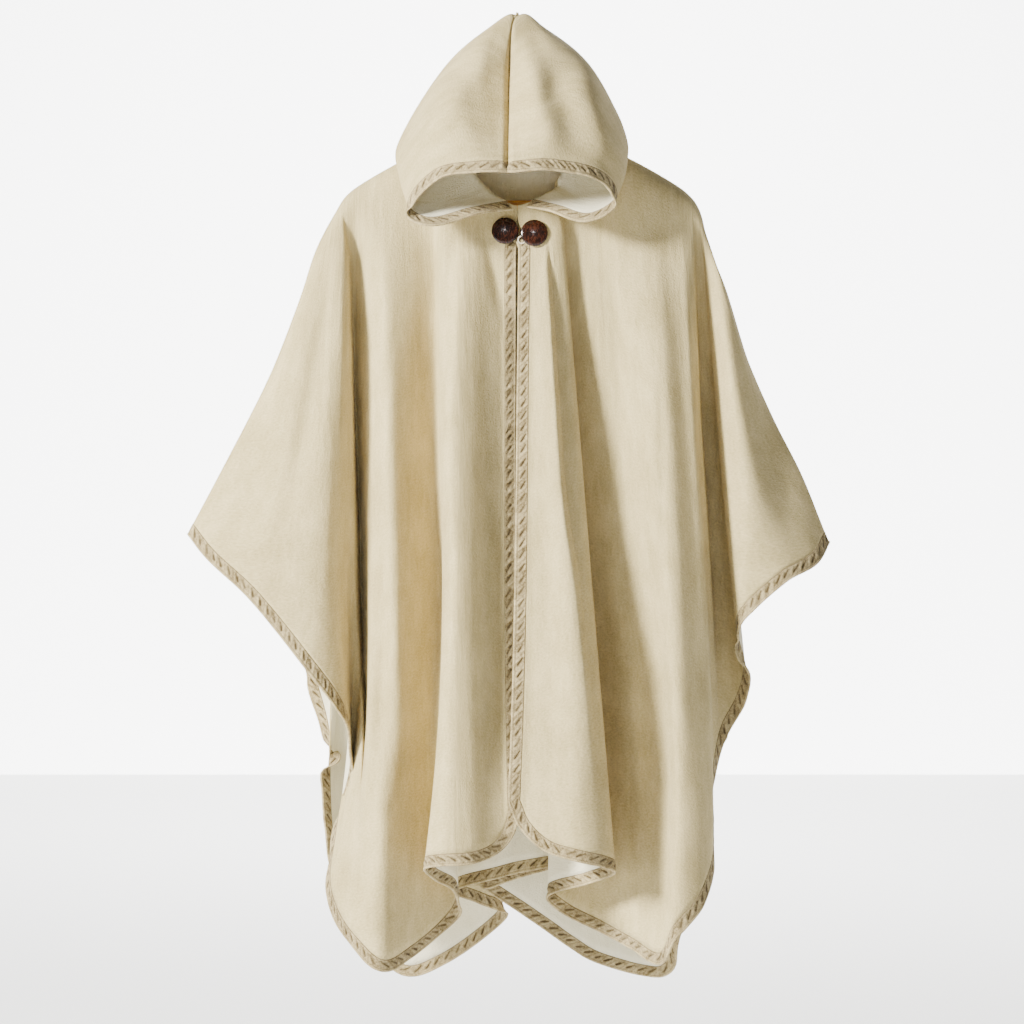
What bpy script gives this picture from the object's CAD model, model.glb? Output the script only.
import bisect
import math
from collections import namedtuple

import bmesh
import bpy
from mathutils import Matrix, Vector


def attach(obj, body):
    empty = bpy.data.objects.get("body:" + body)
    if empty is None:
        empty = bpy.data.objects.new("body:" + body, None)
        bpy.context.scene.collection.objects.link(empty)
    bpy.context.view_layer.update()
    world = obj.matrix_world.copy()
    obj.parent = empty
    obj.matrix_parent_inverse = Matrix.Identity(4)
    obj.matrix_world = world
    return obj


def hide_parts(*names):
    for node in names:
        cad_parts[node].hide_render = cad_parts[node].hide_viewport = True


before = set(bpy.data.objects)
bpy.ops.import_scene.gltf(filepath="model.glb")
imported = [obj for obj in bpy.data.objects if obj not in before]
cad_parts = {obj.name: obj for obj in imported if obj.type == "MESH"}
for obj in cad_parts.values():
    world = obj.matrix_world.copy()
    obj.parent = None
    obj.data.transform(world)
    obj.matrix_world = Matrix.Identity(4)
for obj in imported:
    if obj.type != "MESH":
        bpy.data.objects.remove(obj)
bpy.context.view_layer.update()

# Photographer's corner: a camera level with the middle of the garment, far enough away to flatten it.
# The floor is plain pale paper and the backdrop is lit white. A large soft lamp lights the cloth from
# the left, with a weak one behind it, a small one for the buttons' gleam and one for the floor.

FLOOR_LEVEL = -1.42
FLOOR_RADIUS = 14
BACKDROP_MIDDLE = (0, 7.0, 2.5)
BACKDROP_HALF = 4.0

camera_data = bpy.data.cameras.new("camera")
camera_data.lens = 135
camera_data.sensor_width = 36
camera = bpy.data.objects.new("camera", camera_data)
camera.location = (-0.0075, -4.8, -0.6135)
camera.rotation_euler = (math.radians(90), 0, 0)
bpy.context.scene.collection.objects.link(camera)
bpy.context.scene.camera = camera


def placed(name, mesh):
    """An object at the origin that shows a mesh."""
    thing = bpy.data.objects.new(name, mesh)
    bpy.context.scene.collection.objects.link(thing)
    return thing


def plain_finish(name, colour):
    material = bpy.data.materials.new(name)
    material.use_nodes = True
    shader = material.node_tree.nodes["Principled BSDF"]
    shader.inputs["Base Color"].default_value = colour
    return material, shader


def lamp(name, place, aim, size, watts, colour):
    data = bpy.data.lights.new(name, "AREA")
    data.shape = "DISK"
    data.size = size
    data.energy = watts
    data.color = colour
    thing = bpy.data.objects.new(name, data)
    thing.location = place
    thing.rotation_euler = (Vector(aim) - Vector(place)).to_track_quat("-Z", "Y").to_euler()
    bpy.context.scene.collection.objects.link(thing)


lamp("window_left", (-3.3, -2.5, 0.9), (0, 0, -0.6), 0.9, 720, (1.0, 0.985, 0.95))
lamp("window_right_back", (2.6, 3.0, 0.8), (0, 0, -0.6), 1.6, 90, (1.0, 0.99, 0.97))
lamp("catch_light", (-0.1, -3.9, 1.2), (0, 0, -0.27), 0.13, 6, (1.0, 1.0, 1.0))
lamp("floor_lamp", (0, 4.6, 2.2), (0, 4.2, -1.4), 1.5, 420, (1.0, 1.0, 1.0))

world = bpy.data.worlds.new("studio")
world.use_nodes = True
sky = world.node_tree.nodes["Background"]
sky.inputs["Color"].default_value = (1.0, 1.0, 1.0, 1.0)
sky.inputs["Strength"].default_value = 0.22
bpy.context.scene.world = world

paper = bpy.data.meshes.new("floor")
bm = bmesh.new()
bmesh.ops.create_circle(bm, cap_ends=True, segments=64, radius=FLOOR_RADIUS)
bmesh.ops.translate(bm, verts=bm.verts, vec=(0, 0, FLOOR_LEVEL))
bm.to_mesh(paper)
bm.free()
paper_finish, paper_shader = plain_finish("floor_paper", (0.9, 0.9, 0.89, 1))
paper_shader.inputs["Roughness"].default_value = 0.9
paper.materials.append(paper_finish)
floor = placed("floor", paper)

screen = bpy.data.meshes.new("backdrop")
bm = bmesh.new()
bmesh.ops.create_grid(bm, x_segments=1, y_segments=1, size=BACKDROP_HALF)
bmesh.ops.rotate(bm, verts=bm.verts, matrix=Matrix.Rotation(math.radians(90), 3, "X"))
bmesh.ops.translate(bm, verts=bm.verts, vec=BACKDROP_MIDDLE)
bm.to_mesh(screen)
bm.free()
screen_finish, screen_shader = plain_finish("lit_backdrop", (0.9, 0.9, 0.9, 1))
screen_shader.inputs["Emission Color"].default_value = (1, 1, 1, 1)
screen_shader.inputs["Emission Strength"].default_value = 4.5
screen.materials.append(screen_finish)
backdrop = placed("backdrop", screen)

# Front and back panels: thick felted wool, brushed up into a short nap outside and left white inside.
# Each is one cut piece that hangs from the hanger's arm, joined over the shoulder and along the wing.
# A row of a table is one fold: its start along the shoulder, its foot on the cloth's edge, its bow.

MM = 0.001
TABLE_RAISE = 4.0            # the tables' heights are from this far above the origin
EYE_X = -7.5                 # the camera's place in the tables' millimetres
EYE_Z = -617.5
EYE_AWAY = 4800.0
CLOTH = 2.2                  # thickness of the felt
SHOULDER_ROUND = 18.0        # how far the cloth bends out over the hanger's arm
NECK_HALF_WIDTH = 74.0
NECK_DROP_FRONT = 103.0
NECK_DROP_BACK = 22.0
NECK_ROUND = 0.7             # 0.5 is an elliptical neck hole, 1 is a parabola
NECK_FLARE = -15.6           # the slit's top corners are drawn together above the buttons
FLARE_WIDTH = 30.0
FLARE_LENGTH = 38.0
WING_START = 200             # folds that start beyond this, along the shoulder, end on a wing's outer fold
WING_BLEND = 1.5             # how soon the pull to that fold fades over the folds beside it
TOP_CROWDING = 1.35          # points lie closer together near the shoulder

ARM_LINE = [(0, -137), (50, -143), (95, -157), (140, -177), (185, -202), (212, -221), (227, -243)]
LEFT_WING_LINE = [(252, -291), (272, -352), (304, -435), (335, -499), (367, -560), (406, -633)]
RIGHT_WING_LINE = [(238, -286), (259, -339), (277, -399), (290, -437), (320, -504), (354, -571), (383, -643)]

Fold = namedtuple("Fold", "start x y z bow")
RIGHT_FRONT = [
    Fold(17, 2, -124, -978, 3),        # slit edge
    Fold(21, 14, -128, -1005, 3),
    Fold(27, 40, -138, -1029, 2),
    Fold(35, 78, -150, -1041, 0),      # broad fold beside the slit
    Fold(41, 108, -136, -1048, 0),
    Fold(46, 119, -105, -1056, 0),     # turns under
    Fold(50, 84, -68, -1069, 0),
    Fold(55, 39, -34, -1083, 0),       # turns back out
    Fold(62, 60, -8, -1106, 0),
    Fold(82, 105, -8, -1129, 4),       # floor of the wide valley
    Fold(96, 136, -38, -1146, 8),
    Fold(100, 145, -48, -1151, 10),
    Fold(120, 178, -98, -1169, 20),    # corner of the cloth, edge of the outer fold
    Fold(156, 195, -122, -1135, 14),
    Fold(190, 223, -112, -1101, 8),
    Fold(214, 241, -84, -1054, 8),     # outer fold turns away
    Fold(224, 243, -50, -1000, 4),
    Fold(233, 242, -18, -946, 0),
    Fold(242, 252, 2, -890, 0),        # floor of the groove behind the wing
    Fold(250, 274, 8, -848, 0),
    Fold(257, 283, 0, -810, 0),
    Fold(264, 275, -18, -772, 0),
    Fold(271, 280, -40, -738, -4),
    Fold(278, 327, -52, -694, -10),    # wing
    Fold(284, 365, -32, -672, -15),
    Fold(290, 383, 0, -643, 0),        # outer fold of the wing
]

LEFT_FRONT = [
    Fold(-17, -12, -113, -996, -3),    # slit edge
    Fold(-22, -20, -116, -1019, -3),
    Fold(-34, -36, -126, -1035, -2),
    Fold(-58, -62, -146, -1044, 0),    # broad fold beside the slit
    Fold(-86, -95, -146, -1046, 6),
    Fold(-97, -115, -120, -1050, 14),  # turns under
    Fold(-102, -102, -85, -1064, 10),
    Fold(-108, -79, -46, -1078, 4),
    Fold(-114, -78, -12, -1105, 0),    # turns back out
    Fold(-124, -100, -14, -1132, 0),
    Fold(-148, -135, -58, -1161, 0),
    Fold(-188, -168, -100, -1178, 0),  # corner of the cloth
    Fold(-200, -199, -88, -1152, 8),
    Fold(-207, -223, -44, -1118, 24),
    Fold(-212, -234, -4, -1078, 28),
    Fold(-217, -229, 16, -1034, 27),   # floor of the groove behind the wing
    Fold(-222, -221, 20, -985, 14),
    Fold(-228, -210, 8, -941, 0),
    Fold(-235, -210, -12, -905, -4),
    Fold(-244, -219, -46, -858, -8),
    Fold(-256, -262, -66, -796, 4),    # wing
    Fold(-270, -325, -54, -718, 10),
    Fold(-284, -378, -26, -668, 15),
    Fold(-290, -406, 0, -633, 0),      # outer fold of the wing
]

BACK = [
    Fold(-290, -406, 0, -633, 0),      # outer fold of the left wing
    Fold(-284, -381, 24, -662, 15),
    Fold(-277, -320, 52, -712, 10),
    Fold(-270, -265, 66, -784, 4),
    Fold(-262, -250, 60, -836, 0),
    Fold(-253, -236, 56, -890, 0),
    Fold(-243, -236, 58, -944, 0),
    Fold(-231, -234, 66, -1000, 0),
    Fold(-222, -228, 80, -1046, 0),
    Fold(-212, -214, 98, -1092, 0),
    Fold(-200, -178, 122, -1146, 0),
    Fold(-178, -141, 118, -1184, 0),   # left corner
    Fold(-150, -98, 112, -1171, 0),
    Fold(-120, -50, 98, -1139, 0),
    Fold(-98, -20, 84, -1108, 0),      # left part turns under
    Fold(-86, -45, 58, -1094, 0),
    Fold(-70, -80, 22, -1078, 0),
    Fold(-32, -25, 0, -1061, 0),       # middle part stands forward
    Fold(8, 24, -2, -1050, 0),
    Fold(24, 41, 13, -1049, 0),
    Fold(36, 4, 32, -1060, 0),
    Fold(45, -34, 42, -1073, 0),
    Fold(52, -34, 57, -1078, 0),
    Fold(68, 8, 70, -1106, 0),
    Fold(89, 40, 84, -1128, 0),
    Fold(110, 71, 97, -1150, 0),
    Fold(136, 102, 110, -1168, 0),
    Fold(166, 158, 118, -1184, 0),
    Fold(190, 185, 110, -1180, 0),     # right corner
    Fold(206, 196, 92, -1134, 0),
    Fold(219, 210, 76, -1078, 0),
    Fold(231, 220, 62, -1021, 0),
    Fold(241, 228, 54, -965, 0),
    Fold(251, 238, 52, -902, 0),
    Fold(260, 246, 56, -820, 0),
    Fold(268, 266, 60, -748, -2),
    Fold(276, 310, 52, -687, -8),
    Fold(284, 358, 28, -662, -15),
    Fold(290, 383, 0, -643, 0),        # outer fold of the right wing
]
FOLD_PIECES = {-1: 12, 1: 8}
DOWN_PIECES = 120
CURVE_PIECES = 8
CREASE_REACH = 2.6           # a crease is left out beyond this many of its widths
TOP_ROW = 4                  # a row near the shoulder, where a panel faces straight out


def spline(rows, pieces):
    """Smooth curve through rows of numbers, with the same number of pieces between each two."""
    first = [2 * a - b for a, b in zip(rows[0], rows[1])]
    last = [2 * a - b for a, b in zip(rows[-1], rows[-2])]
    padded_rows = [first] + [list(row) for row in rows] + [last]
    curve = []
    for k in range(1, len(padded_rows) - 2):
        for piece in range(pieces):
            t = piece / pieces
            curve.append([0.5 * (2 * b + (c - a) * t + (2 * a - 5 * b + 4 * c - d) * t * t
                                 + (3 * b - a - 3 * c + d) * t ** 3)
                          for a, b, c, d in zip(*padded_rows[k - 1:k + 3])])
    curve.append(list(rows[-1]))
    return curve


def seen(x, y, z):
    """A point of the front view, at its own depth, in true millimetres."""
    near = 1 + y / EYE_AWAY
    return Vector((EYE_X + (x - EYE_X) * near, y, EYE_Z + (z - EYE_Z) * near))


class ShoulderLine:
    """The ridge that front and back share, measured along itself from the middle of the neck."""

    def __init__(self, wing_line, sign):
        self.points = [Vector((sign * x, 0, z)) for x, z in spline(ARM_LINE + wing_line, CURVE_PIECES)]
        self.lengths = [0.0]
        for a, b in zip(self.points, self.points[1:]):
            self.lengths.append(self.lengths[-1] + (b - a).length)
        self.total = self.lengths[-1]

    def at(self, along):
        for k in range(1, len(self.points)):
            if along <= self.lengths[k] or k == len(self.points) - 1:
                share = (along - self.lengths[k - 1]) / (self.lengths[k] - self.lengths[k - 1])
                return self.points[k - 1].lerp(self.points[k], share)

    def direction(self, along):
        return (self.at(min(along + 2, self.total)) - self.at(max(along - 2, 0))).normalized()

    def outward(self, along):
        run = self.direction(along)
        return Vector((-run.z, 0, run.x)) if run.x > 0 else Vector((run.z, 0, -run.x))


SHOULDER = {-1: ShoulderLine(LEFT_WING_LINE, -1), 1: ShoulderLine(RIGHT_WING_LINE, 1)}


def fold_line(fold, face, levels):
    """The points down one fold line: face is -1 on the fronts and +1 on the back."""
    line = SHOULDER[-1 if fold.start < 0 else 1]
    top = line.at(abs(fold.start))
    foot = seen(fold.x, fold.y, fold.z)
    length = (foot - top).length
    across = min(abs(fold.start) / NECK_HALF_WIDTH, 1.0)
    drop = (NECK_DROP_FRONT if face < 0 else NECK_DROP_BACK) * (1 - across * across) ** NECK_ROUND
    points = []
    for level in levels:
        share = drop / length + (1 - drop / length) * level
        down = share * length
        point = top.lerp(foot, share)
        point.y += face * SHOULDER_ROUND * (1 - math.exp(-2 * down / SHOULDER_ROUND)) * (1 - share)
        point.x += fold.bow * math.sin(math.pi * share * share)
        if face < 0:
            near_slit = math.exp(-(abs(fold.start) - RIGHT_FRONT[0].start) / FLARE_WIDTH)
            flare = NECK_FLARE * near_slit * math.exp(-((down - drop) / FLARE_LENGTH) ** 4)
            point.x += flare if fold.start > 0 else -flare
        points.append(point)
    return points


def panel_points(table, face):
    """Columns of points, one a fold line, that end on the wings' outer folds."""
    levels = [(j / DOWN_PIECES) ** TOP_CROWDING for j in range(DOWN_PIECES + 1)]
    pieces = FOLD_PIECES[face]
    folds = [Fold(*row) for row in spline(table, pieces)]
    columns = [fold_line(fold, face, levels) for fold in folds]
    for end in (0, -1):
        if abs(table[end].start) < WING_START:
            continue
        line = SHOULDER[-1 if table[end].start < 0 else 1]
        start = abs(table[end].start)
        shift = [line.at(start + (line.total - start) * level) - point
                 for level, point in zip(levels, columns[end])]
        for k in range(pieces):
            column = columns[k if end == 0 else -1 - k]
            weight = (1 - k / pieces) ** WING_BLEND
            for point, move in zip(column, shift):
                point += move * weight
    return folds, columns


# A soft trough or ridge: how wide it is on its left and on its right, how steep its sides are (2 is
# round, 4 is flat with steep sides), and the points down its line in the front view, each with how far
# the cloth stands out there. A small width makes a sharp side.
Crease = namedtuple("Crease", "left right steep points")


class CreaseSet:
    """Creases made ready for use, with a smooth line through the points of each."""

    def __init__(self, creases):
        self.lines = [crease._replace(points=spline(crease.points, CURVE_PIECES)) for crease in creases]

    def rise(self, point):
        """How far the cloth stands out at a point."""
        near = 1 + point.y / EYE_AWAY
        x, z = EYE_X + (point.x - EYE_X) / near, EYE_Z + (point.z - EYE_Z) / near
        rise = 0.0
        for left, right, steep, line in self.lines:
            if not line[-1][1] < z < line[0][1]:
                continue
            k = bisect.bisect_left(line, -z, key=lambda row: -row[1])
            (x0, z0, rise0), (x1, z1, rise1) = line[k - 1], line[k]
            share = (z0 - z) / (z0 - z1)
            off = x - (x0 + (x1 - x0) * share)
            off /= right if off > 0 else left
            if abs(off) < CREASE_REACH:
                rise += (rise0 + (rise1 - rise0) * share) * math.exp(-abs(off) ** steep)
        return rise


FRONT_CREASES = [
    # left wing
    Crease(15, 22, 2, ((-252, -292, 0), (-270, -370, 3), (-296, -470, 4), (-330, -590, 0))),
    Crease(12, 16, 2, ((-236, -310, 0), (-246, -400, -3), (-268, -520, -4), (-300, -660, 0))),
    Crease(18, 2, 2, ((-221, -250, 0), (-216, -305, 5), (-214, -377, 8), (-212, -440, 9), (-210, -527, 9),
                      (-206, -636, 9), (-204, -717, 9), (-199, -825, 7), (-197, -900, 0))),
    Crease(14, 10, 2, ((-330, -480, 0), (-350, -550, 2.5), (-366, -630, 0))),
    # deep groove beside the left wing
    Crease(2.5, 34, 4, ((-217, -246, 0), (-212, -285, -8), (-210, -305, -15), (-208, -377, -30),
                        (-206, -440, -38), (-204, -527, -43), (-200, -636, -44), (-198, -717, -42),
                        (-193, -825, -36), (-191, -890, -26), (-195, -980, 0))),
    Crease(20, 24, 2, ((-196, -890, 0), (-198, -960, -10), (-202, -1040, -13), (-204, -1130, 0))),
    # first crest and its soft hollow
    Crease(16, 24, 2, ((-178, -240, 0), (-172, -340, 2), (-164, -520, 3), (-158, -760, 3), (-164, -960, 0))),
    Crease(10, 9, 2, ((-160, -620, 0), (-166, -760, -4), (-176, -900, -5), (-186, -1090, 0))),
    # valley between the first and the second crest
    Crease(44, 13, 2, ((-74, -262, 0), (-86, -300, -8), (-98, -394, -17), (-106, -514, -24),
                       (-104, -636, -26), (-99, -690, -26), (-105, -771, -25), (-110, -839, -20),
                       (-116, -907, -12), (-120, -980, 0))),
    Crease(9, 26, 2, ((-62, -280, 0), (-77, -400, 6), (-83, -540, 8), (-80, -700, 7), (-86, -860, 0))),
    Crease(9, 9, 2, ((-46, -244, 0), (-38, -285, -4), (-30, -322, -4.5), (-14, -396, 0))),
    Crease(44, 2, 2, ((-4, -268, 0), (-4, -340, -11), (-3, -480, -19), (-3, -700, -21), (-4, -860, -19),
                      (-12, -990, 0))),
    # crest beside the slit on the right front, with its sharp right edge
    Crease(22, 3, 2, ((33, -272, 0), (38, -352, 5), (46, -477, 8), (55, -602, 8), (73, -727, 8),
                      (86, -852, 7), (96, -970, 0))),
    Crease(3, 26, 2, ((39, -280, 0), (44, -352, -8), (52, -477, -12), (61, -602, -12), (79, -727, -11),
                      (92, -852, -9), (102, -970, 0))),
    Crease(16, 15, 2, ((78, -262, 0), (86, -322, 4), (96, -400, 5), (108, -520, 0))),
    Crease(11, 12, 2, ((118, -280, 0), (124, -380, -3.5), (132, -520, -4), (138, -660, 0))),
    # last crest, its narrow groove and its lower hollow
    Crease(30, 16, 2, ((168, -270, 0), (180, -400, 9), (191, -560, 11), (198, -700, 10), (202, -850, 7),
                       (206, -990, 0))),
    Crease(5, 5, 2, ((176, -440, 0), (178.5, -500, -1.4), (180, -620, -2), (180, -740, -2.2),
                     (180, -790, 0))),
    Crease(34, 7, 2, ((172, -640, 0), (177, -760, -13), (183, -860, -22), (187, -960, -22), (190, -1110, 0))),
    Crease(12, 14, 2, ((132, -700, 0), (140, -820, 4), (150, -960, 4), (156, -1080, 0))),
    # deep groove beside the right wing
    Crease(2.5, 26, 4, ((220, -250, 0), (222, -286, -12), (225, -370, -23), (228, -430, -30),
                        (231, -501, -36), (236, -577, -38), (239, -622, -36), (245, -717, -29),
                        (249, -799, -18), (251, -894, 0))),
    Crease(15, 2, 2, ((214, -262, 0), (218, -330, 4), (223, -440, 7), (227, -520, 8), (234, -622, 8),
                      (241, -740, 6), (246, -890, 0))),
    # right wing
    Crease(12, 24, 2, ((250, -330, 0), (264, -420, 8), (278, -520, 10), (288, -620, 8), (294, -720, 0))),
    Crease(14, 12, 2, ((268, -380, 0), (292, -470, -3.5), (322, -560, -4), (350, -650, 0))),
]
BACK_CREASES = [
    Crease(18, 15, 2, ((-226, -280, 0), (-262, -440, -9), (-310, -620, -8), (-352, -800, 0))),
    Crease(15, 18, 2, ((-204, -250, 0), (-214, -480, 9), (-238, -820, 8), (-262, -1190, 0))),
    Crease(19, 14, 2, ((-176, -240, 0), (-182, -520, -11), (-188, -900, -8), (-196, -1230, 0))),
    Crease(16, 18, 2, ((-148, -230, 0), (-146, -560, 9), (-150, -900, 11), (-150, -1230, 0))),
    Crease(13, 18, 2, ((-118, -220, 0), (-112, -480, -9), (-106, -860, -11), (-104, -1220, 0))),
    Crease(18, 15, 2, ((-84, -215, 0), (-76, -460, 8), (-68, -800, 9), (-66, -1180, 0))),
    Crease(16, 16, 2, ((-48, -210, 0), (-42, -560, -10), (-36, -860, -8), (-34, -1130, 0))),
    Crease(14, 19, 2, ((-14, -200, 0), (-10, -420, 9), (-8, -800, 11), (-6, -1130, 0))),
    Crease(17, 13, 2, ((22, -205, 0), (20, -500, -9), (24, -840, -8), (24, -1120, 0))),
    Crease(15, 17, 2, ((54, -215, 0), (50, -420, 8), (54, -780, 10), (52, -1140, 0))),
    Crease(14, 18, 2, ((90, -220, 0), (88, -560, -11), (94, -900, -9), (92, -1180, 0))),
    Crease(18, 16, 2, ((122, -225, 0), (124, -520, 9), (132, -860, 11), (134, -1200, 0))),
    Crease(15, 17, 2, ((156, -235, 0), (160, -460, -8), (170, -860, -10), (176, -1220, 0))),
    Crease(17, 16, 2, ((188, -250, 0), (196, -500, 9), (212, -840, 8), (226, -1190, 0))),
    Crease(18, 16, 2, ((212, -270, 0), (246, -420, -9), (276, -620, -8), (300, -840, 0))),
]


def sheet_mesh(name, columns, across_mm, down_mm, normals=None, values=None):
    """A grid of cloth laid on columns of points, with its own lengths in metres as its UV map."""
    nx, ny = len(columns) - 1, len(columns[0]) - 1
    bm = bmesh.new()
    uv = bm.loops.layers.uv.new("cloth")
    bmesh.ops.create_grid(bm, x_segments=nx, y_segments=ny, size=0.5)
    layers = [(bm.verts.layers.float.new(key), grid) for key, grid in (values or {}).items()]
    place = {}
    for vert in bm.verts:
        i, j = round((vert.co.x + 0.5) * nx), round((vert.co.y + 0.5) * ny)
        place[vert] = (i, j)
        vert.co = (columns[i][j] + Vector((0, 0, TABLE_RAISE))) * MM
        for layer, grid in layers:
            vert[layer] = grid[i][j]
    for bm_face in bm.faces:
        bm_face.smooth = True
        for loop in bm_face.loops:
            i, j = place[loop.vert]
            loop[uv].uv = (across_mm[i] * MM, down_mm[i][j] * MM)
    mesh = bpy.data.meshes.new(name)
    bm.normal_update()
    if normals and sum(vert.normal.dot(normals[i][j]) for vert, (i, j) in place.items()) < 0:
        bmesh.ops.reverse_faces(bm, faces=bm.faces)
    bm.to_mesh(mesh)
    bm.free()
    return placed(name, mesh)


def lengths_of(columns):
    """Where each column and each of its points lies on the flat cloth, in millimetres."""
    middle = len(columns[0]) // 2
    across = [0.0]
    for a, b in zip(columns, columns[1:]):
        across.append(across[-1] + (b[middle] - a[middle]).length)
    down = []
    for column in columns:
        run = [0.0]
        for a, b in zip(column, column[1:]):
            run.append(run[-1] + (b - a).length)
        down.append(run)
    return across, down


def grid_normals(columns, hint, row):
    """Unit normals of the grid, turned to agree with the hint in the middle of one row."""
    last_i, last_j = len(columns) - 1, len(columns[0]) - 1
    normals = []
    for i in range(last_i + 1):
        column = []
        for j in range(last_j + 1):
            across = Vector((0, 0, 0))
            for a, b in ((max(i - 1, 0), i), (i, min(i + 1, last_i))):
                across += (columns[b][j] - columns[a][j]).normalized()
            along = columns[i][min(j + 1, last_j)] - columns[i][max(j - 1, 0)]
            column.append(across.cross(along).normalized())
        normals.append(column)
    if normals[last_i // 2][row].dot(hint) < 0:
        normals = [[-n for n in column] for column in normals]
    return normals


class Value:
    """A node's output that can be used in sums, with the Math nodes made as they are needed."""

    def __init__(self, finish, socket):
        self.finish = finish
        self.socket = socket

    def sum(self, operation, *others):
        values = [other.socket if isinstance(other, Value) else other for other in others]
        return self.finish.node("ShaderNodeMath", {"operation": operation}, dict(enumerate(values)))

    def __add__(self, other):
        return self.sum("ADD", self, other)

    def __sub__(self, other):
        return self.sum("SUBTRACT", self, other)

    def __rsub__(self, other):
        return self.sum("SUBTRACT", other, self)

    def __mul__(self, other):
        return self.sum("MULTIPLY", self, other)

    def __abs__(self):
        return self.sum("ABSOLUTE", self)

    __radd__ = __add__
    __rmul__ = __mul__


class Finish:
    """One material, whose nodes are made from a type, its settings and the values of its sockets."""

    def __init__(self, name):
        self.material = bpy.data.materials.new(name)
        self.material.use_nodes = True
        self.tree = self.material.node_tree
        self.shader = self.tree.nodes["Principled BSDF"]

    def node(self, kind, settings, sockets, output=0):
        """Make a node; output is the number or the name of the socket that is used."""
        made = self.tree.nodes.new(kind)
        for key, value in settings.items():
            setattr(made, key, value)
        for key, value in sockets.items():
            if isinstance(value, Value):
                value = value.socket
            if isinstance(value, bpy.types.NodeSocket):
                self.tree.links.new(value, made.inputs[key])
            else:
                made.inputs[key].default_value = value
        return Value(self, made.outputs[output])

    def blend(self, factor, first, second):
        """Mix two colours; each is a plain colour or a node's output."""
        made = self.tree.nodes.new("ShaderNodeMix")
        made.data_type = "RGBA"
        # sockets 0, 6 and 7 are this node's factor and its two colours
        for key, value in ((0, factor), (6, first), (7, second)):
            if isinstance(value, Value):
                self.tree.links.new(value.socket, made.inputs[key])
            else:
                made.inputs[key].default_value = value
        return Value(self, made.outputs[2])

    def bump(self, height, distance, strength=1.0):
        bump = self.node("ShaderNodeBump", {}, {"Height": height, "Distance": distance, "Strength": strength})
        self.tree.links.new(bump.socket, self.shader.inputs["Normal"])

    def feed(self, name, value):
        self.tree.links.new(value.socket, self.shader.inputs[name])

    def set(self, **values):
        """Set the shader's own sockets, whose names are written with _ for each space."""
        for name, value in values.items():
            self.shader.inputs[name.replace("_", " ")].default_value = value


def felt(name, light, dark, nap, tangle):
    """Felted wool: mottled in broad soft clouds, with a nap brushed down the cloth and fine tangles."""
    finish = Finish(name)
    uv = finish.node("ShaderNodeUVMap", {"uv_map": "cloth"}, {})
    brushed = finish.node("ShaderNodeMapping", {}, {"Vector": uv, "Scale": (1.0, 0.22, 1.0)})
    clouds = finish.node("ShaderNodeTexNoise", {}, {"Vector": uv, "Scale": 13.0, "Detail": 3.0})
    streaks = finish.node("ShaderNodeTexNoise", {}, {"Vector": brushed, "Scale": 230.0, "Detail": 4.0,
                                                     "Roughness": 0.65})
    tufts = finish.node("ShaderNodeTexNoise", {}, {"Vector": uv, "Scale": 420.0, "Detail": 5.0,
                                                   "Roughness": 0.7})
    lumps = finish.node("ShaderNodeTexNoise", {}, {"Vector": brushed, "Scale": 70.0, "Detail": 2.0})
    tone = finish.node("ShaderNodeClamp", {}, {"Value": 0.5 + (clouds - 0.5) * 1.1 + (streaks - 0.5) * nap
                                               + (tufts - 0.5) * tangle + (lumps - 0.5) * 0.9})
    finish.feed("Base Color", finish.blend(tone, dark, light))
    finish.bump(streaks * 0.5 + tufts * 1.1 + lumps * 1.3, 0.0018, 0.7)
    finish.set(Roughness=0.95, Sheen_Weight=0.08, Sheen_Roughness=0.45, Specular_IOR_Level=0.12)
    return finish.material


cream_felt = felt("cream_felt", (0.67, 0.55, 0.285, 1), (0.42, 0.335, 0.155, 1), 0.7, 2.1)
white_felt = felt("white_felt", (0.90, 0.84, 0.63, 1), (0.74, 0.68, 0.47, 1), 0.5, 1.1)


def cloth_shell(thing, outside, inside):
    """Give a sheet its thickness and its two faces."""
    thing.data.materials.append(outside)
    thing.data.materials.append(inside)
    wall = thing.modifiers.new("thickness", "SOLIDIFY")
    wall.thickness = CLOTH * MM
    wall.offset = 0.0
    wall.material_offset = 1
    wall.material_offset_rim = 0


def make_panel(node, table, face, creases):
    """A front or the back: its folds, its points with the creases in them, and its shell."""
    folds, columns = panel_points(table, face)
    across, down = lengths_of(columns)
    for column in columns:
        for point in column:
            point.y += face * creases.rise(point)
    normals = grid_normals(columns, Vector((0, face, 0)), TOP_ROW)
    thing = sheet_mesh(node + "_cloth", columns, across, down, normals)
    cloth_shell(thing, cream_felt, white_felt)
    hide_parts(node)
    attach(thing, "root")
    return folds, columns, normals, thing


front_creases = CreaseSet(FRONT_CREASES)
left_front = make_panel("front_left", LEFT_FRONT, -1, front_creases)
right_front = make_panel("front_right", RIGHT_FRONT, -1, front_creases)
back_panel = make_panel("back", BACK, 1, CreaseSet(BACK_CREASES))

# Hood: two halves of the same felt, curved in both directions, sewn to each other along the centre
# seam over the crown and lapped over the neck's edge. The seam is pulled in and makes a dark groove.

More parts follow.
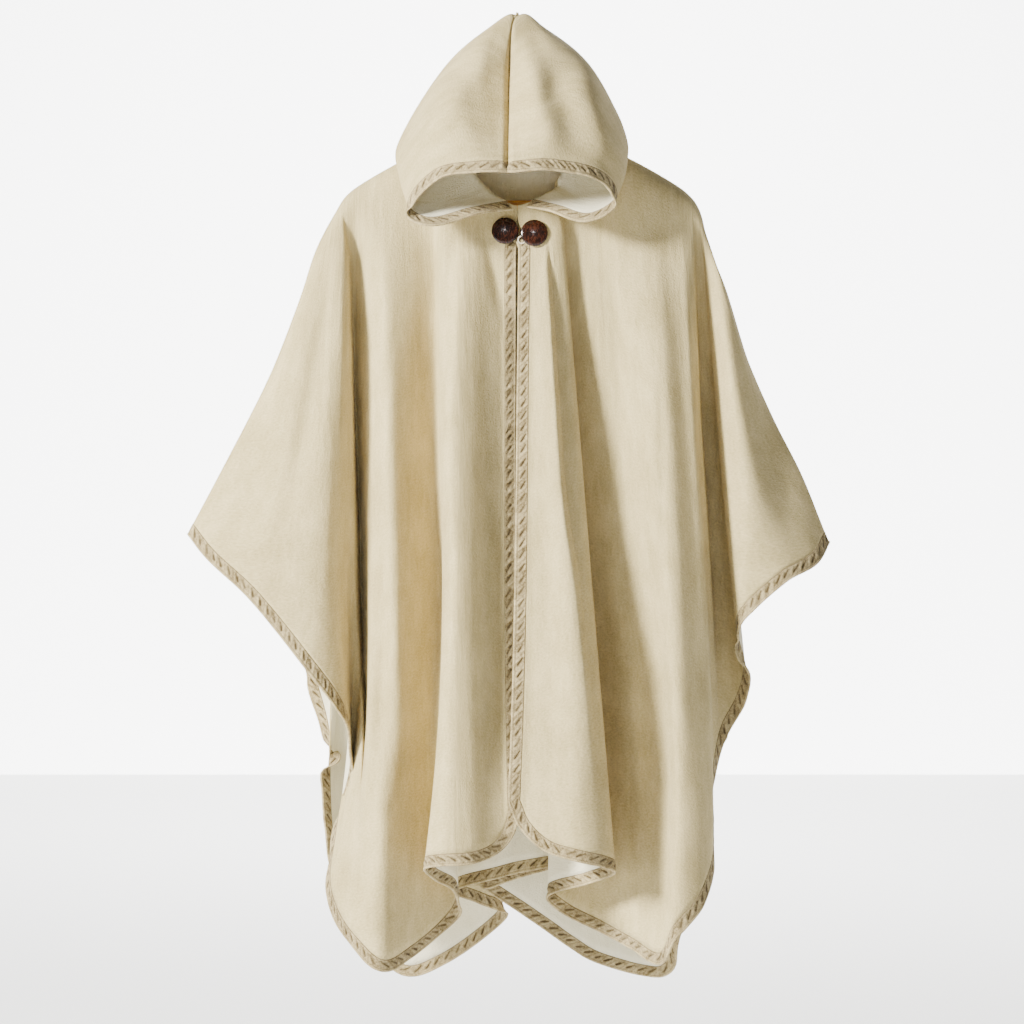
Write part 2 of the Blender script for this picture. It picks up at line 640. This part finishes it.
HoodBand = namedtuple("HoodBand", "front cheek side nape back")
LEFT_HOOD = [
    HoodBand((-60, -64, -238), (-108, -55, -222), (-128, -8, -160), (-78, 42, -165), (0, 56, -172)),
    HoodBand((-108, -82, -250), (-138, -58, -220), (-143, -6, -172), (-98, 55, -158), (0, 75, -158)),
    HoodBand((-136, -80, -237), (-146, -55, -205), (-148, -5, -166), (-102, 60, -146), (0, 86, -138)),
    HoodBand((-128, -92, -213), (-145, -62, -186), (-148, -6, -155), (-106, 60, -126), (0, 90, -112)),
    HoodBand((-97, -114, -187), (-126, -80, -155), (-132, -12, -124), (-96, 55, -88), (0, 80, -78)),
    HoodBand((-54, -130, -180), (-82, -96, -112), (-92, -34, -68), (-60, 24, -36), (0, 48, -36)),
    HoodBand((-33, -134, -179), (-48, -108, -117), (-53, -58, -46), (-31, -4, -9), (0, 24, -6)),
    HoodBand((-23, -134, -179), (-30, -111, -118), (-31, -69, -53), (-13, -12, 0.0), (0, 10, 1.5)),
]
RIGHT_HOOD = [
    HoodBand((51, -62, -235), (94, -55, -220), (114, -8, -158), (66, 42, -165), (0, 56, -172)),
    HoodBand((88, -80, -245), (124, -58, -214), (130, -6, -168), (88, 55, -158), (0, 75, -158)),
    HoodBand((121, -80, -227), (132, -55, -198), (133, -5, -160), (90, 60, -146), (0, 86, -138)),
    HoodBand((116, -92, -203), (131, -62, -178), (133, -6, -146), (94, 60, -126), (0, 90, -112)),
    HoodBand((90, -112, -186), (114, -80, -150), (122, -12, -116), (86, 55, -88), (0, 80, -78)),
    HoodBand((40, -130, -177), (74, -96, -100), (89, -34, -62), (54, 24, -34), (0, 48, -36)),
    HoodBand((13, -134, -178), (32, -108, -113), (46, -58, -43), (28, -4, -9), (0, 24, -6)),
    HoodBand((0, -134, -179), (11, -111, -116), (18, -69, -51), (11, -12, 0.5), (0, 10, 1.5)),
]
CROWN_SEAM = HoodBand((-13, -134, -180), (-12, -112, -122), (-11, -76, -66), (-9, -34, -16), (-1, 0, 6.8))
# Where the hood's columns start along the shoulder line, on the front and then on the back
HOOD_LAP = 3.5
HOOD_START = {-1: 26, 1: 28}
HOOD_FRONT_STOPS = [37, 42, 48, 54, 61, 67, 71.5, 74]
HOOD_BACK_STOPS = [72, 68, 62, 54, 43, 30, 15, 0]
HOOD_ACROSS = 14
HOOD_UP = 9
BAND_PIECES = 24
HALF_SEAM = 0.15             # half the gap between the two halves' edges
SEAM_SINK = 9.0
SEAM_WIDTH = 4.0
SEAM_SHARED = 8.0            # within this of the seam both halves take a crease alike
SEAM_FACING = 0.85           # and as if the cloth there faced this much to the front

# The hood's folds from its left edge to its right, with the deep one down the centre seam
HOOD_CREASES = CreaseSet([
    Crease(26, 22, 2, ((-20, -22, 0), (-50, -62, 7), (-98, -112, 9), (-116, -140, 6), (-128, -168, 0))),
    Crease(46, 24, 2, ((-6, -14, 0), (-9, -50, -17), (-12, -90, -29), (-13, -128, -32), (-13, -156, -20),
                       (-13, -188, 0))),
    Crease(11, 9, 2, ((-84, -92, 0), (-112, -130, -3), (-136, -176, 0))),
    Crease(14, 14, 2, ((4, -14, 0), (14, -50, 5), (26, -100, 6), (38, -140, 4), (46, -172, 0))),
    Crease(20, 28, 2, ((18, 0, 0), (33, -34, -7), (50, -76, -12), (62, -118, -13), (72, -150, -7),
                       (80, -176, 0))),
    Crease(34, 14, 2, ((84, -50, 0), (108, -92, 12), (118, -126, 15), (124, -156, 8), (128, -184, 0))),
])


def neck_row(side, front, back):
    """The hood's lowest row, lapped over the neck's edge."""
    row = []
    front_stops = [HOOD_START[side]] + HOOD_FRONT_STOPS
    for (folds, columns, normals, thing), stops in ((front, front_stops), (back, HOOD_BACK_STOPS)):
        for along in stops:
            k = min(range(len(folds)), key=lambda i: abs(folds[i].start - side * along))
            row.append(columns[k][0] + normals[k][0] * HOOD_LAP)
    return row


def make_hood_half(side_name, table, side, front):
    """One half, from the neck's edge over its bands to the crown seam, with the creases in it."""
    rows = [[Vector(p) for p in spline(neck_row(side, front, back_panel), HOOD_ACROSS // 4)]]
    count = len(rows[0])
    for band in list(table) + [CROWN_SEAM]:
        curve = [Vector(p) for p in spline([seen(*place) for place in band], BAND_PIECES)]
        rows.append([curve[round(k * (len(curve) - 1) / (count - 1))] for k in range(count)])
    columns = [[Vector(p) for p in spline([row[j] for row in rows], HOOD_UP)] for j in range(count)]
    for column in columns:
        column[-1].x += side * HALF_SEAM
    for point in columns[-1][:-1]:
        point.x = side * HALF_SEAM
    across, down = lengths_of(columns)
    normals = grid_normals(columns, Vector((side, 0, 0)), len(columns[0]) * 2 // 3)
    for i, column in enumerate(columns):
        for j, point in enumerate(column):
            from_seam = min(down[i][-1] - down[i][j], across[-1] - across[i])
            sink = SEAM_SINK * math.exp(-(from_seam / SEAM_WIDTH) ** 2)
            facing = normals[i][j].y
            near_seam = math.exp(-(from_seam / SEAM_SHARED) ** 2)
            shown = near_seam * SEAM_FACING + (1 - near_seam) * -facing if facing < 0 else 0.0
            point.y -= sink * facing + HOOD_CREASES.rise(point) * shown
    thing = sheet_mesh("hood_" + side_name + "_cloth", columns, across, down, normals)
    cloth_shell(thing, cream_felt, white_felt)
    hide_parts("hood_" + side_name)
    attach(thing, "root")
    return columns, normals, thing


left_hood = make_hood_half("left", LEFT_HOOD, -1, left_front)
right_hood = make_hood_half("right", RIGHT_HOOD, 1, right_front)

# Edging: a flat braid plaited from thick wool yarn, a little darker than the cloth, sewn to the raw
# edges. Slanted slits and small holes show between its strands, and its free edge is a raised cord.

EDGING_LAP = 0.8             # how far the strip lies over the cloth's edge
BRAID_TOP = -274.0           # the strip beside the slit starts under the buttons
SLIT_LENGTH = 780.0
PLAIT_PITCH = 14.5
PLAIT_STEP = 1.0
PLAIT_SHIFT = 0.22           # how much a turn's place differs, as a share of the pitch
DENT_LEAST = 0.75            # a dent's depth is this, and up to the spread more
DENT_SPREAD = 0.35
WAVE_DEPTH = 0.35            # strands rise and fall by this
STRAND_LEAN = 0.11           # turns that a strand leans by for each millimetre across
BACK_SALT = 40               # the strip's two faces differ

# Across the braid: half its thickness, and how much of the strands' rise and fall shows there
BraidPoint = namedtuple("BraidPoint", "across half strand")
BRAID = [
    BraidPoint(0.0, 1.3, 0.0),
    BraidPoint(0.8, 1.5, 0.2),
    BraidPoint(2.0, 1.7, 0.9),
    BraidPoint(3.2, 1.7, 1.0),
    BraidPoint(4.4, 1.8, 1.0),
    BraidPoint(5.6, 1.8, 1.0),
    BraidPoint(6.8, 1.8, 1.0),
    BraidPoint(8.0, 1.8, 1.0),
    BraidPoint(9.2, 1.7, 1.0),
    BraidPoint(10.4, 1.5, 0.8),
    BraidPoint(11.8, 1.0, 0.3),
    BraidPoint(13.0, 1.7, 0.1),
    BraidPoint(14.3, 1.5, 0.1),
    BraidPoint(15.0, 0.5, 0.0),
]
GROOVE_ACROSS = 0.0118       # the groove beside the outer cord, in metres from the sewn side
# One turn of the plait: each dent's two ends (along as a share of the pitch, across in mm), half its
# width and its depth
Dent = namedtuple("Dent", "along across to_along to_across width depth")
DENTS = [
    Dent(0.06, 3.0, 0.72, 8.8, 1.0, 1.0),
    Dent(0.34, 5.4, 0.68, 8.5, 1.6, 1.0),
    Dent(0.08, 2.8, 0.14, 3.6, 1.1, 0.7),
    Dent(0.66, 2.0, 0.98, 4.8, 0.75, 0.4),
    Dent(0.94, 3.2, 0.74, 6.6, 0.6, 0.4),
    Dent(0.04, 8.0, 0.24, 10.8, 0.7, 0.4),
]


def scatter(number, salt):
    """A fixed number from 0 to 1 that looks random, for one turn of the plait."""
    return math.sin(number * 12.9898 + salt * 78.233) * 43758.5453 % 1.0


def plait(along, across, salt):
    """How deep the plait is dented at a point, and how light its yarn is there."""
    turn = math.floor(along / PLAIT_PITCH)
    dent = 0.0
    for number in (turn - 1, turn, turn + 1):
        shift = (scatter(number, salt) - 0.5) * PLAIT_SHIFT
        for k, d in enumerate(DENTS):
            strength = d.depth * (DENT_LEAST + DENT_SPREAD * scatter(number, salt + k + 1))
            ax, ay = (number + d.along + shift) * PLAIT_PITCH, d.across
            bx, by = (number + d.to_along + shift) * PLAIT_PITCH, d.to_across
            run = ((along - ax) * (bx - ax) + (across - ay) * (by - ay)) / ((bx - ax) ** 2 + (by - ay) ** 2)
            run = min(1.0, max(0.0, run))
            off = math.hypot(along - ax - run * (bx - ax), across - ay - run * (by - ay))
            dent = max(dent, strength * math.exp(-(off / d.width) ** 2))
    strand = math.floor(along / PLAIT_PITCH * 2 - across * STRAND_LEAN)
    return dent, scatter(strand, salt + 9)


def make_edging(node, line, normals, inside, salt, start_out=None, end_out=None, turned=0):
    """The braid along an edge of the cloth: line is the edge, inside points back into the cloth, and
    its slits lean the other way once it is past the length turned."""
    outs = []
    last = len(line) - 1
    for k, (point, normal) in enumerate(zip(line, normals)):
        run = (line[min(k + 1, last)] - point).normalized() + (point - line[max(k - 1, 0)]).normalized()
        outs.append(run.normalized().cross(normal).normalized())
    if sum(out.dot((point - back).normalized()) for out, point, back in zip(outs, line, inside)) < 0:
        outs = [-out for out in outs]
    if start_out is not None:
        outs[0] = start_out
    if end_out is not None:
        outs[last] = end_out
    run = [0.0]
    for a, b in zip(line, line[1:]):
        run.append(run[-1] + (b - a).length)
    count = round(run[-1] / PLAIT_STEP)
    alongs, columns, dents, tones = [], [], [], []
    k = 0
    for step in range(count + 1):
        along = run[-1] * step / count
        while k < last - 1 and run[k + 1] < along:
            k += 1
        share = (along - run[k]) / max(run[k + 1] - run[k], 1e-6)
        point, normal = line[k].lerp(line[k + 1], share), normals[k].lerp(normals[k + 1], share)
        out = outs[k].lerp(outs[k + 1], share).normalized()
        normal = (normal - out * normal.dot(out)).normalized()
        plaited = along if along < turned else -along
        ring, ring_dents, ring_tones = [], [], []
        for side in (1, -1):
            for braid in BRAID if side > 0 else BRAID[::-1]:
                dent, tone = plait(plaited, braid.across, salt + (0 if side > 0 else BACK_SALT))
                wave = math.cos(math.tau * (2 * plaited / PLAIT_PITCH - braid.across * STRAND_LEAN))
                half = braid.half + braid.strand * (WAVE_DEPTH * wave - dent)
                ring.append(point + out * (braid.across - EDGING_LAP) + normal * side * half)
                ring_dents.append(dent)
                ring_tones.append(tone)
        columns.append(ring + ring[:1])
        dents.append(ring_dents + ring_dents[:1])
        tones.append(ring_tones + ring_tones[:1])
        alongs.append(along)
    around = [braid.across for braid in BRAID]
    around = around + around[::-1] + around[:1]
    thing = sheet_mesh(node + "_braid", columns, alongs, [around for along in alongs],
                       values={"dent": dents, "tone": tones})
    mesh = thing.data
    bm = bmesh.new()
    bm.from_mesh(mesh)
    bmesh.ops.remove_doubles(bm, verts=bm.verts, dist=0.000001)
    bmesh.ops.holes_fill(bm, edges=[edge for edge in bm.edges if edge.is_boundary], sides=0)
    bmesh.ops.recalc_face_normals(bm, faces=bm.faces)
    bm.to_mesh(mesh)
    bm.free()
    mesh.materials.append(braid_wool)
    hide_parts(node)
    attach(thing, "root")
    return thing


def plaited_wool():
    """Yarn whose strands differ a little in tone, dark in the dents and along the sewn side."""
    finish = Finish("braid_wool")
    uv = finish.node("ShaderNodeUVMap", {"uv_map": "cloth"}, {})
    across = finish.node("ShaderNodeSeparateXYZ", {}, {"Vector": uv}, output="Y")
    dent = finish.node("ShaderNodeAttribute", {"attribute_name": "dent"}, {}, output="Fac")
    strand = finish.node("ShaderNodeAttribute", {"attribute_name": "tone"}, {}, output="Fac")
    soft = {"interpolation_type": "SMOOTHSTEP"}
    sewn = finish.node("ShaderNodeMapRange", soft, {"Value": across, "From Min": 0.0014, "From Max": 0.0003})
    groove = finish.node("ShaderNodeMapRange", soft, {"Value": abs(across - GROOVE_ACROSS),
                                                      "From Min": 0.0008, "From Max": 0.0})
    rim = finish.node("ShaderNodeMapRange", soft, {"Value": across, "From Min": 0.0123, "From Max": 0.0134})
    fuzz = finish.node("ShaderNodeTexNoise", {}, {"Vector": uv, "Scale": 620.0, "Detail": 4.0})
    blotch = finish.node("ShaderNodeTexNoise", {}, {"Vector": uv, "Scale": 150.0, "Detail": 2.0})
    tone = finish.node("ShaderNodeClamp", {}, {"Value": 0.25 + (fuzz - 0.5) * 1.5 + (blotch - 0.5) * 1.0
                                               + strand * 0.45 + rim * 0.12})
    yarn = finish.blend(tone, (0.17, 0.125, 0.055, 1), (0.56, 0.45, 0.24, 1))
    shade = finish.node("ShaderNodeClamp", {}, {"Value": dent * 1.0 + sewn * 0.55 + groove * 0.35})
    finish.feed("Base Color", finish.blend(shade, yarn, (0.05, 0.032, 0.012, 1)))
    finish.bump(fuzz * 0.8 + blotch * 0.8, 0.0012, 0.7)
    finish.set(Roughness=0.92, Sheen_Weight=0.12, Sheen_Roughness=0.5, Specular_IOR_Level=0.12)
    return finish.material


braid_wool = plaited_wool()


def front_edging(side_name, panel):
    """Down the slit from the neck, round the hem and up the side to the wing's corner."""
    folds, columns, normals, thing = panel
    bottom = len(columns[0]) - 1
    first = next(j for j, point in enumerate(columns[0]) if point.z < BRAID_TOP)
    path = [(0, j) for j in range(first, bottom + 1)] + [(i, bottom) for i in range(1, len(columns))]
    inside = [columns[1][j] if i == 0 else columns[i][j - 1] for i, j in path]
    line = SHOULDER[-1 if side_name == "left" else 1]
    return make_edging("edging_front_" + side_name, [columns[i][j] for i, j in path],
                       [normals[i][j] for i, j in path], inside, salt=len(side_name),
                       end_out=line.direction(line.total),
                       turned=SLIT_LENGTH if side_name == "right" else 0)


left_edging = front_edging("left", left_front)
right_edging = front_edging("right", right_front)
back_edging = make_edging("edging_back", [column[-1] for column in back_panel[1]],
                          [side[-1] for side in back_panel[2]], [column[-2] for column in back_panel[1]],
                          salt=7, start_out=SHOULDER[-1].direction(SHOULDER[-1].total),
                          end_out=SHOULDER[1].direction(SHOULDER[1].total))
for hood_name, half in (("left", left_hood), ("right", right_hood)):
    make_edging("edging_hood_" + hood_name, half[0][0], half[1][0], half[0][1],
                                    salt=20 + len(hood_name))

# Buttons: two round slices of dark coconut shell, turned a little domed and polished. Each is sewn
# on through its middle, and a pale loop of wool cord from the left front lies under the right one.

BUTTON_RADIUS = 17.0
BUTTON_TILT = math.radians(8)
ButtonPoint = namedtuple("ButtonPoint", "out up")
BUTTON = [
    ButtonPoint(0.0, 0.0),
    ButtonPoint(14.6, 0.0),
    ButtonPoint(16.2, 1.0),
    ButtonPoint(17.0, 2.4),
    ButtonPoint(16.6, 3.3),
    ButtonPoint(15.0, 4.2),
    ButtonPoint(11.0, 5.0),
    ButtonPoint(6.0, 5.5),
    ButtonPoint(2.5, 5.65),
    ButtonPoint(0.0, 5.7),
]


def coconut_shell():
    """Polished shell: nearly black, with fine red-brown flecks that run along its grain."""
    finish = Finish("coconut_shell")
    coordinates = finish.node("ShaderNodeTexCoord", {}, {}, output="Object")
    grain = finish.node("ShaderNodeMapping", {}, {"Vector": coordinates, "Scale": (1.0, 1.0, 0.35)})
    flecks = finish.node("ShaderNodeTexNoise", {}, {"Vector": grain, "Scale": 420.0, "Detail": 5.0,
                                                    "Roughness": 0.7})
    blotches = finish.node("ShaderNodeTexNoise", {}, {"Vector": coordinates, "Scale": 130.0, "Detail": 2.0})
    tone = finish.node("ShaderNodeMapRange", {"interpolation_type": "SMOOTHSTEP"},
                       {"Value": flecks * 0.7 + blotches * 0.3, "From Min": 0.42, "From Max": 0.68})
    finish.feed("Base Color", finish.blend(tone, (0.008, 0.003, 0.002, 1), (0.055, 0.015, 0.006, 1)))
    finish.feed("Roughness", 0.14 + tone * 0.1)
    finish.bump(flecks, 0.0002, 0.25)
    finish.set(Coat_Weight=0.15, Coat_Roughness=0.06, Specular_IOR_Level=0.4)
    return finish.material


shell = coconut_shell()
for button_name, x, back_y, z in (("left", -16.0, -34.9, -269.0), ("right", 20.0, -39.1, -272.0)):
    bm = bmesh.new()
    verts = [bm.verts.new((point.out * MM, -point.up * MM, 0)) for point in BUTTON]
    edges = [bm.edges.new(pair) for pair in zip(verts, verts[1:])]
    bmesh.ops.spin(bm, geom=verts + edges, cent=(0, 0, 0), axis=(0, 1, 0), angle=math.tau, steps=48,
                   use_merge=True)
    bmesh.ops.remove_doubles(bm, verts=bm.verts, dist=0.000002)
    bmesh.ops.recalc_face_normals(bm, faces=bm.faces)
    bmesh.ops.rotate(bm, verts=bm.verts, matrix=Matrix.Rotation(-BUTTON_TILT, 3, "X"))
    bmesh.ops.translate(bm, verts=bm.verts, vec=Vector((x, back_y, z + TABLE_RAISE)) * MM)
    for bm_face in bm.faces:
        bm_face.smooth = True
    mesh = bpy.data.meshes.new("button_" + button_name)
    bm.to_mesh(mesh)
    bm.free()
    mesh.materials.append(shell)
    button = placed("shell_button_" + button_name, mesh)
    rounder = button.modifiers.new("round", "SUBSURF")
    rounder.levels = 1
    rounder.render_levels = 1
    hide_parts("button_" + button_name)
    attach(button, "root")

# Loop: a pale wool cord, twisted and sewn in a ring. It lies between the two buttons and links them:
# it is sewn to the left front and slips over the right button.

LOOP_MIDDLE = (4.6, -39.0, -280.0)
LOOP_RADIUS = 4.4
CORD_RADIUS = 0.9

bm = bmesh.new()
bmesh.ops.create_circle(bm, segments=16, radius=CORD_RADIUS * MM)
bmesh.ops.rotate(bm, verts=bm.verts, matrix=Matrix.Rotation(math.radians(90), 3, "Z"))
bmesh.ops.translate(bm, verts=bm.verts, vec=(LOOP_RADIUS * MM, 0, 0))
bmesh.ops.spin(bm, geom=bm.verts[:] + bm.edges[:], cent=(0, 0, 0), axis=(0, 1, 0), angle=math.tau,
               steps=48, use_merge=True)
bmesh.ops.recalc_face_normals(bm, faces=bm.faces)
bmesh.ops.rotate(bm, verts=bm.verts, matrix=Matrix.Rotation(BUTTON_TILT, 3, "X"))
bmesh.ops.translate(bm, verts=bm.verts, vec=(Vector(LOOP_MIDDLE) + Vector((0, 0, TABLE_RAISE))) * MM)
for bm_face in bm.faces:
    bm_face.smooth = True
mesh = bpy.data.meshes.new("loop_cord")
bm.to_mesh(mesh)
bm.free()
cord_finish = Finish("loop_cord")
coordinates = cord_finish.node("ShaderNodeTexCoord", {}, {}, output="Object")
twist = cord_finish.node("ShaderNodeTexNoise", {}, {"Vector": coordinates, "Scale": 900.0, "Detail": 3.0})
cord_finish.feed("Base Color", cord_finish.blend(twist, (0.42, 0.34, 0.22, 1), (0.82, 0.74, 0.58, 1)))
cord_finish.bump(twist, 0.0006, 0.8)
cord_finish.set(Roughness=0.9, Sheen_Weight=0.15)
mesh.materials.append(cord_finish.material)
loop_cord = placed("loop_cord", mesh)
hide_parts("button_loop")
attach(loop_cord, "root")

# Hanger: beech arms and bar under clear varnish, with a hook of bright steel wire. The solids have
# the right shapes, so only their finishes are made here.


def varnished(name, light, dark):
    """Wood with straight grain along the hanger, under clear varnish."""
    finish = Finish(name)
    coordinates = finish.node("ShaderNodeTexCoord", {}, {}, output="Object")
    grain = finish.node("ShaderNodeMapping", {}, {"Vector": coordinates, "Scale": (0.05, 1.0, 1.0)})
    rings = finish.node("ShaderNodeTexNoise", {}, {"Vector": grain, "Scale": 320.0, "Detail": 4.0})
    finish.feed("Base Color", finish.blend(rings, dark, light))
    finish.bump(rings, 0.0002, 0.15)
    finish.set(Roughness=0.38, Coat_Weight=0.35, Coat_Roughness=0.15)
    return finish.material


wood = varnished("varnished_beech", (0.80, 0.42, 0.09, 1), (0.50, 0.22, 0.035, 1))
steel = Finish("bright_steel")
steel.set(Base_Color=(0.72, 0.72, 0.72, 1), Metallic=1.0, Roughness=0.25)
for node, finish, slot in (("hanger_arms", wood, "hanger_wood"), ("hanger_bar", wood, "bar_wood"),
                           ("hanger_hook", steel.material, "hook_steel")):
    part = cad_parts[node]
    part.material_slots[0].material = finish
